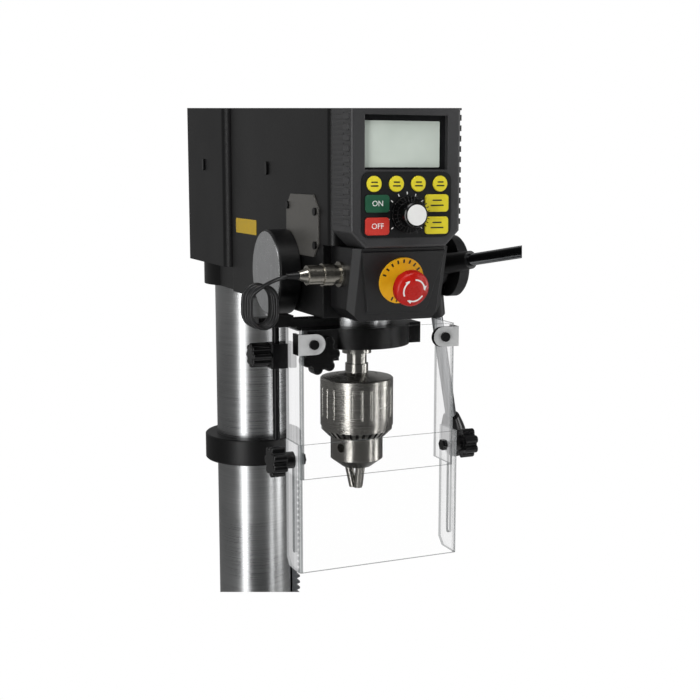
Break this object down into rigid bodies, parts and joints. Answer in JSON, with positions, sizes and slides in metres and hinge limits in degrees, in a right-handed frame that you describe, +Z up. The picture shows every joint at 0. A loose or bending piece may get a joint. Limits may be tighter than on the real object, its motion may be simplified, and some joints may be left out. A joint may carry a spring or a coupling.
{
  "type": "drill press",
  "caption": "Floor-standing drill press with electronic control head, keyed chuck, clear sliding chuck guard, tilting lift table and three feed levers.",
  "frame": {"origin": "centre of the base's four anchor holes, on the floor", "axes": "+Z up, -Y towards the operator, +X to the operator's right"},
  "size_m": [0.43, 0.6138, 1.796],
  "materials": {
    "black_casting": "semi-gloss textured paint",
    "black_cover": "semi-gloss textured paint",
    "blank_plate": "satin",
    "black_screw": "satin",
    "column_steel": "ground",
    "machine_steel": "ground",
    "rack_steel": "milled",
    "table_iron": "ground top",
    "quill_steel": "ground",
    "chuck_steel": "polished",
    "chrome": "polished",
    "spring_case_steel": "satin",
    "panel_plastic": "moulded texture",
    "knob_plastic": "moulded",
    "keypad": "printed film",
    "yellow_key": "moulded",
    "green_key": "moulded",
    "red_key": "moulded",
    "display": "liquid-crystal display",
    "stop_red": "moulded",
    "cable_rubber": "matt",
    "clear_sheet": "clear polycarbonate",
    "motor_steel": "laminated",
    "spring_steel": "blued"
  },
  "bodies": {
    "stand": {"base": "black_casting", "column_flange": "black_casting", "fixing_screws": "black_screw", "column": "column_steel", "rack_collar": "black_casting", "head_casting": "black_casting", "rear_cover": "black_cover", "nameplate": "blank_plate", "motor_stator": "motor_steel", "spring_case": "spring_case_steel", "return_spring": "spring_steel", "panel_housing": "panel_plastic", "lcd_display": "display", "keypad_plate": "keypad", "stop_housing": "panel_plastic", "cable_plug": "machine_steel", "guard_cable": "cable_rubber", "cable_coil": "cable_rubber"},
    "swing_body": {"table_rack": "rack_steel"},
    "table_carriage": {"table_bracket": "black_casting", "tilt_bolt": "black_screw"},
    "lift_drive": {"lift_pinion": "machine_steel", "lift_crank": "black_casting"},
    "grip_body": {"crank_grip": "knob_plastic"},
    "column_clamp_body": {"column_clamp_lever": "machine_steel"},
    "table_body": {"table": "table_iron"},
    "motor_body": {"motor_rotor": "motor_steel"},
    "quill_body": {"quill": "quill_steel", "quill_bearings": "machine_steel", "guard_collar": "black_casting", "guard_post": "black_screw", "interlock_switch": "knob_plastic"},
    "spindle_body": {"spindle": "machine_steel", "chuck_body": "chuck_steel"},
    "sleeve_body": {"chuck_sleeve": "chuck_steel"},
    "jaw_body_1": {"chuck_jaw_1": "chuck_steel"},
    "jaw_body_2": {"chuck_jaw_2": "chuck_steel"},
    "jaw_body_3": {"chuck_jaw_3": "chuck_steel"},
    "feed_body": {"feed_shaft": "machine_steel", "feed_hub": "black_casting", "feed_levers": "chrome", "lever_knobs": "knob_plastic"},
    "collar_knob_body": {"collar_knob": "knob_plastic"},
    "guard_body": {"guard_clamp": "black_screw", "upper_guard": "clear_sheet"},
    "lower_guard_body": {"lower_guard": "clear_sheet"},
    "left_guard_knob_body": {"left_guard_knob": "knob_plastic"},
    "right_guard_knob_body": {"right_guard_knob": "knob_plastic"},
    "post_knob_body": {"post_clamp_knob": "knob_plastic"},
    "stop_press_body": {"stop_stem": "black_screw"},
    "stop_twist_body": {"stop_cap": "stop_red"},
    "dial_body": {"speed_dial": "knob_plastic"},
    "round_key_1_body": {"round_key_1": "yellow_key"},
    "round_key_2_body": {"round_key_2": "yellow_key"},
    "round_key_3_body": {"round_key_3": "yellow_key"},
    "round_key_4_body": {"round_key_4": "yellow_key"},
    "on_key_body": {"on_key": "green_key"},
    "off_key_body": {"off_key": "red_key"},
    "upper_right_key_body": {"upper_right_key": "yellow_key"},
    "lower_right_key_body": {"lower_right_key": "yellow_key"}
  },
  "joints": [
    {"name": "table_swing", "type": "hinge", "parent": "stand", "child": "swing_body", "pos_m": [0, 0.15, 0.77055], "axis": [0, 0, 1], "range_deg": [-90, 90]},
    {"name": "table_lift", "type": "slide", "parent": "swing_body", "child": "table_carriage", "axis": [0, 0, 1], "range_m": [-0.5, 0.14]},
    {"name": "lift_turn", "type": "hinge", "parent": "table_carriage", "child": "lift_drive", "pos_m": [0.058, 0.15, 0.77055], "axis": [0, -1, 0], "range_deg": [-2100, 600]},
    {"name": "grip_spin", "type": "hinge", "parent": "lift_drive", "child": "grip_body", "pos_m": [0.058, 0.21, 0.66556], "axis": [0, 1, 0], "continuous": true},
    {"name": "column_clamp_turn", "type": "hinge", "parent": "table_carriage", "child": "column_clamp_body", "pos_m": [-0.0635, 0.12, 0.77055], "axis": [0, -1, 0], "range_deg": [0, 60]},
    {"name": "table_tilt", "type": "hinge", "parent": "table_carriage", "child": "table_body", "pos_m": [0, -0.035, 0.795], "axis": [0, 1, 0], "range_deg": [-45, 45]},
    {"name": "motor_spin", "type": "hinge", "parent": "stand", "child": "motor_body", "pos_m": [0, -0.115, 1.648], "axis": [0, 0, 1], "continuous": true},
    {"name": "quill_feed", "type": "slide", "parent": "stand", "child": "quill_body", "axis": [0, 0, -1], "range_m": [0, 0.152], "stiffness_N_per_m": 350, "springref_m": -0.35},
    {"name": "feed_turn", "type": "hinge", "parent": "stand", "child": "feed_body", "pos_m": [0, -0.0795, 1.358], "axis": [1, 0, 0], "range_deg": [0, 726]},
    {"name": "spindle_spin", "type": "hinge", "parent": "quill_body", "child": "spindle_body", "pos_m": [0, -0.115, 1.228], "axis": [0, 0, 1], "continuous": true},
    {"name": "sleeve_turn", "type": "hinge", "parent": "spindle_body", "child": "sleeve_body", "pos_m": [0, -0.115, 1.253], "axis": [0, 0, 1], "range_deg": [0, 1080]},
    {"name": "jaw_slide_1", "type": "slide", "parent": "spindle_body", "child": "jaw_body_1", "axis": [0.1801, 0.104, 0.9781], "range_m": [0, 0.0385]},
    {"name": "jaw_slide_2", "type": "slide", "parent": "spindle_body", "child": "jaw_body_2", "axis": [-0.1801, 0.104, 0.9781], "range_m": [0, 0.0385]},
    {"name": "jaw_slide_3", "type": "slide", "parent": "spindle_body", "child": "jaw_body_3", "axis": [0, -0.2079, 0.9781], "range_m": [0, 0.0385]},
    {"name": "collar_knob_turn", "type": "hinge", "parent": "quill_body", "child": "collar_knob_body", "pos_m": [-0.0468, -0.15, 1.3005], "axis": [0, -1, 0], "range_deg": [0, 360]},
    {"name": "guard_swing", "type": "hinge", "parent": "quill_body", "child": "guard_body", "pos_m": [-0.0725, -0.125, 1.298], "axis": [0, 0, -1], "range_deg": [0, 110]},
    {"name": "guard_slide", "type": "slide", "parent": "guard_body", "child": "lower_guard_body", "axis": [0, 0, 1], "range_m": [0, 0.064]},
    {"name": "left_guard_knob_turn", "type": "hinge", "parent": "guard_body", "child": "left_guard_knob_body", "pos_m": [-0.084, -0.15, 1.2198], "axis": [-1, 0, 0], "range_deg": [0, 360]},
    {"name": "right_guard_knob_turn", "type": "hinge", "parent": "guard_body", "child": "right_guard_knob_body", "pos_m": [0.084, -0.15, 1.2198], "axis": [1, 0, 0], "range_deg": [0, 360]},
    {"name": "post_knob_turn", "type": "hinge", "parent": "guard_body", "child": "post_knob_body", "pos_m": [-0.086, -0.125, 1.2985], "axis": [-1, 0, 0], "range_deg": [0, 360]},
    {"name": "stop_press", "type": "slide", "parent": "stand", "child": "stop_press_body", "axis": [0, 0.9674, 0.2533], "range_m": [0, 0.004], "stiffness_N_per_m": 900},
    {"name": "stop_twist", "type": "hinge", "parent": "stop_press_body", "child": "stop_twist_body", "pos_m": [0, -0.19512, 1.3595], "axis": [0, -0.9674, -0.2533], "range_deg": [0, 45], "stiffness_Nm_per_rad": 0.05},
    {"name": "dial_turn", "type": "hinge", "parent": "stand", "child": "dial_body", "pos_m": [0, -0.21, 1.4075], "axis": [0, -1, 0], "continuous": true},
    {"name": "round_key_1_press", "type": "slide", "parent": "stand", "child": "round_key_1_body", "axis": [0, 1, 0], "range_m": [0, 0.0006], "stiffness_N_per_m": 500},
    {"name": "round_key_2_press", "type": "slide", "parent": "stand", "child": "round_key_2_body", "axis": [0, 1, 0], "range_m": [0, 0.0006], "stiffness_N_per_m": 500},
    {"name": "round_key_3_press", "type": "slide", "parent": "stand", "child": "round_key_3_body", "axis": [0, 1, 0], "range_m": [0, 0.0006], "stiffness_N_per_m": 500},
    {"name": "round_key_4_press", "type": "slide", "parent": "stand", "child": "round_key_4_body", "axis": [0, 1, 0], "range_m": [0, 0.0006], "stiffness_N_per_m": 500},
    {"name": "on_key_press", "type": "slide", "parent": "stand", "child": "on_key_body", "axis": [0, 1, 0], "range_m": [0, 0.0006], "stiffness_N_per_m": 500},
    {"name": "off_key_press", "type": "slide", "parent": "stand", "child": "off_key_body", "axis": [0, 1, 0], "range_m": [0, 0.0006], "stiffness_N_per_m": 500},
    {"name": "upper_right_key_press", "type": "slide", "parent": "stand", "child": "upper_right_key_body", "axis": [0, 1, 0], "range_m": [0, 0.0006], "stiffness_N_per_m": 500},
    {"name": "lower_right_key_press", "type": "slide", "parent": "stand", "child": "lower_right_key_body", "axis": [0, 1, 0], "range_m": [0, 0.0006], "stiffness_N_per_m": 500}
  ],
  "couplings": [
    {"joint": "lift_turn", "follows": "table_lift", "rad_per_m": 71.429},
    {"joint": "feed_turn", "follows": "quill_feed", "rad_per_m": 83.333},
    {"joint": "spindle_spin", "follows": "motor_spin", "ratio": 1},
    {"joint": "jaw_slide_1", "follows": "sleeve_turn", "m_per_rad": 0.0020405},
    {"joint": "jaw_slide_2", "follows": "sleeve_turn", "m_per_rad": 0.0020405},
    {"joint": "jaw_slide_3", "follows": "sleeve_turn", "m_per_rad": 0.0020405}
  ]
}
